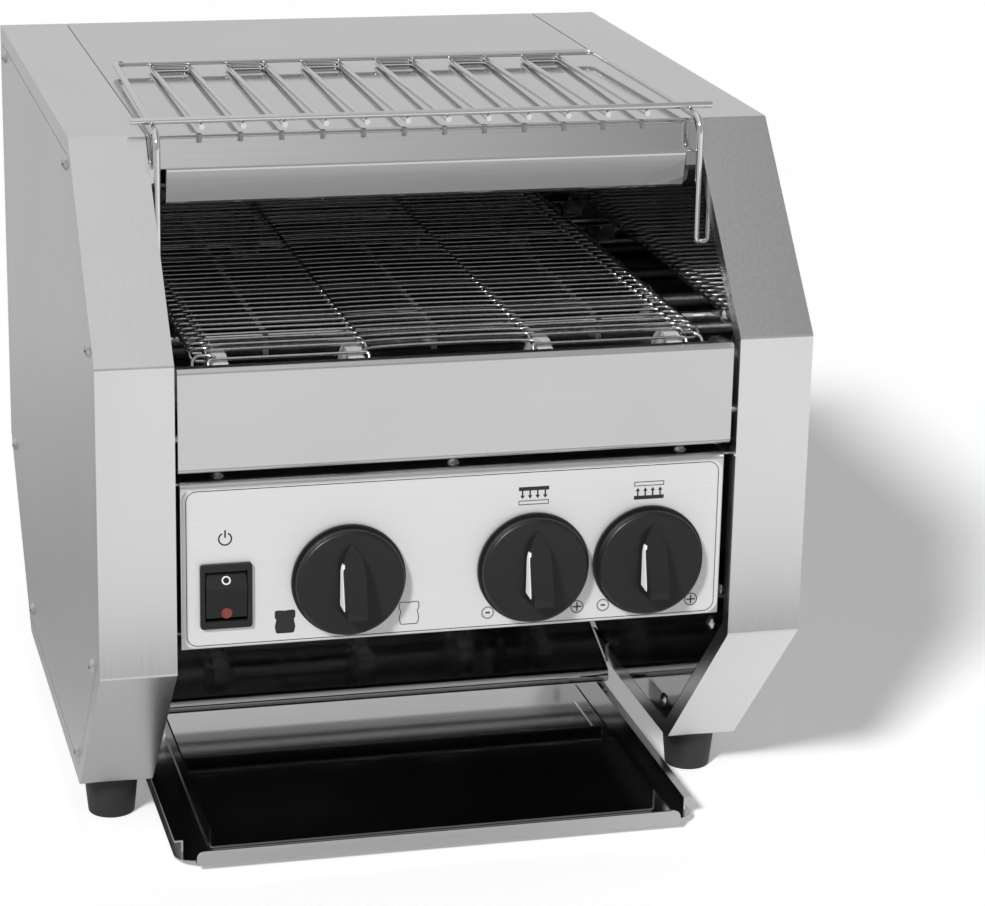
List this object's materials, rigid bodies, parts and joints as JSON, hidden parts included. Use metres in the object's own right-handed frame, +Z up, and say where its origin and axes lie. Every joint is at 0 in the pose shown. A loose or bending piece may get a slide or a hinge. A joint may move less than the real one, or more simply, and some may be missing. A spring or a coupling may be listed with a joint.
{
  "type": "conveyor toaster",
  "caption": "Countertop conveyor toaster in satin steel with a wire belt, dial controls, a rocker switch, a sliding toast tray and a wire bread rack on top.",
  "frame": {"origin": "middle of the whole part's footprint, on the plane under the four feet", "axes": "+X to the right seen from the front, +Y from the front to the back, +Z up"},
  "size_m": [0.3726, 0.4419, 0.3882],
  "materials": {
    "case_steel": "satin",
    "polished_steel": "polished",
    "plated_steel": "zinc plated",
    "screw_steel": "bright",
    "bright_wire": "polished",
    "turned_steel": "machined",
    "facia": "printed satin",
    "black_plastic": "matt",
    "white_plastic": "gloss",
    "red_lens": "gloss",
    "foot_rubber": "matt",
    "ceramic": "matt",
    "heater_sheath": "heat darkened",
    "bearing_bronze": "plain",
    "regulator_body": "matt",
    "motor_casting": "cast"
  },
  "bodies": {
    "frame": {"belt_support_rails": "turned_steel", "cable_gland": "black_plastic", "control_chassis": "plated_steel", "control_panel": "case_steel", "control_panel_screws": "screw_steel", "conveyor_belt": "bright_wire", "crumb_deflector": "polished_steel", "drive_chain": "turned_steel", "facia_plate": "facia", "feet": "foot_rubber", "foot_screws": "plated_steel", "front_cover": "case_steel", "front_cover_screws": "screw_steel", "gear_motor": "motor_casting", "heat_regulators": "regulator_body", "heater_insulators": "ceramic", "left_case_shell": "case_steel", "left_inner_wall": "polished_steel", "left_side_panel": "case_steel", "lower_heaters": "heater_sheath", "lower_reflector": "polished_steel", "ramp_brackets": "polished_steel", "rear_panel": "case_steel", "rear_panel_screws": "screw_steel", "right_case_shell": "case_steel", "right_inner_wall": "polished_steel", "right_side_panel": "case_steel", "shaft_bearings": "bearing_bronze", "side_panel_screws": "screw_steel", "speed_control": "black_plastic", "switch_housing": "black_plastic", "terminal_block": "white_plastic", "thermal_cutout": "regulator_body", "toast_ramp": "polished_steel", "top_cover": "case_steel", "tray_rails": "polished_steel", "upper_heaters": "heater_sheath", "upper_reflector": "polished_steel", "wall_screws": "screw_steel"},
    "rocker": {"switch_rocker": "black_plastic", "rocker_lens": "red_lens"},
    "speed_dial": {"speed_knob": "black_plastic", "speed_knob_marker": "white_plastic", "speed_shaft": "turned_steel"},
    "upper_heat_dial": {"upper_heat_knob": "black_plastic", "upper_heat_knob_marker": "white_plastic", "upper_heat_shaft": "turned_steel"},
    "lower_heat_dial": {"lower_heat_knob": "black_plastic", "lower_heat_knob_marker": "white_plastic", "lower_heat_shaft": "turned_steel"},
    "front_roller": {"front_shaft": "turned_steel", "front_sprockets": "turned_steel", "drive_sprocket": "turned_steel"},
    "rear_roller": {"rear_shaft": "turned_steel", "rear_sprockets": "turned_steel"},
    "motor_output": {"motor_shaft": "turned_steel", "motor_sprocket": "turned_steel"},
    "rack": {"bread_rack": "bright_wire"},
    "crumb_pan": {"crumb_tray": "polished_steel"},
    "toast_pan": {"toast_tray": "polished_steel"}
  },
  "joints": [
    {"name": "rocker_tilt", "type": "hinge", "parent": "frame", "child": "rocker", "pos_m": [-0.119, -0.1919, 0.16], "axis": [1, 0, 0], "range_deg": [0, 20]},
    {"name": "speed_dial_turn", "type": "hinge", "parent": "frame", "child": "speed_dial", "pos_m": [-0.0564, -0.1957, 0.1645], "axis": [0, 1, 0], "range_deg": [-135, 135]},
    {"name": "upper_heat_dial_turn", "type": "hinge", "parent": "frame", "child": "upper_heat_dial", "pos_m": [0.0403, -0.1957, 0.1645], "axis": [0, 1, 0], "range_deg": [-135, 135]},
    {"name": "lower_heat_dial_turn", "type": "hinge", "parent": "frame", "child": "lower_heat_dial", "pos_m": [0.1017, -0.1957, 0.1645], "axis": [0, 1, 0], "range_deg": [-135, 135]},
    {"name": "front_roller_spin", "type": "hinge", "parent": "frame", "child": "front_roller", "pos_m": [0, -0.1677, 0.26014], "axis": [-1, 0, 0], "continuous": true},
    {"name": "rear_roller_spin", "type": "hinge", "parent": "frame", "child": "rear_roller", "pos_m": [0, 0.1491, 0.26014], "axis": [-1, 0, 0], "continuous": true},
    {"name": "motor_output_spin", "type": "hinge", "parent": "frame", "child": "motor_output", "pos_m": [0, -0.1117, 0.175], "axis": [-1, 0, 0], "continuous": true},
    {"name": "rack_swing", "type": "hinge", "parent": "frame", "child": "rack", "pos_m": [0, -0.1337, 0.317], "axis": [1, 0, 0], "range_deg": [0, 105]},
    {"name": "crumb_pan_slide", "type": "slide", "parent": "frame", "child": "crumb_pan", "axis": [0, -1, 0], "range_m": [0, 0.25]},
    {"name": "toast_pan_lift", "type": "slide", "parent": "crumb_pan", "child": "toast_pan", "axis": [0, 0, 1], "range_m": [0, 0.06]}
  ],
  "couplings": [
    {"joint": "rear_roller_spin", "follows": "front_roller_spin", "ratio": 1},
    {"joint": "motor_output_spin", "follows": "front_roller_spin", "ratio": 1.5}
  ]
}
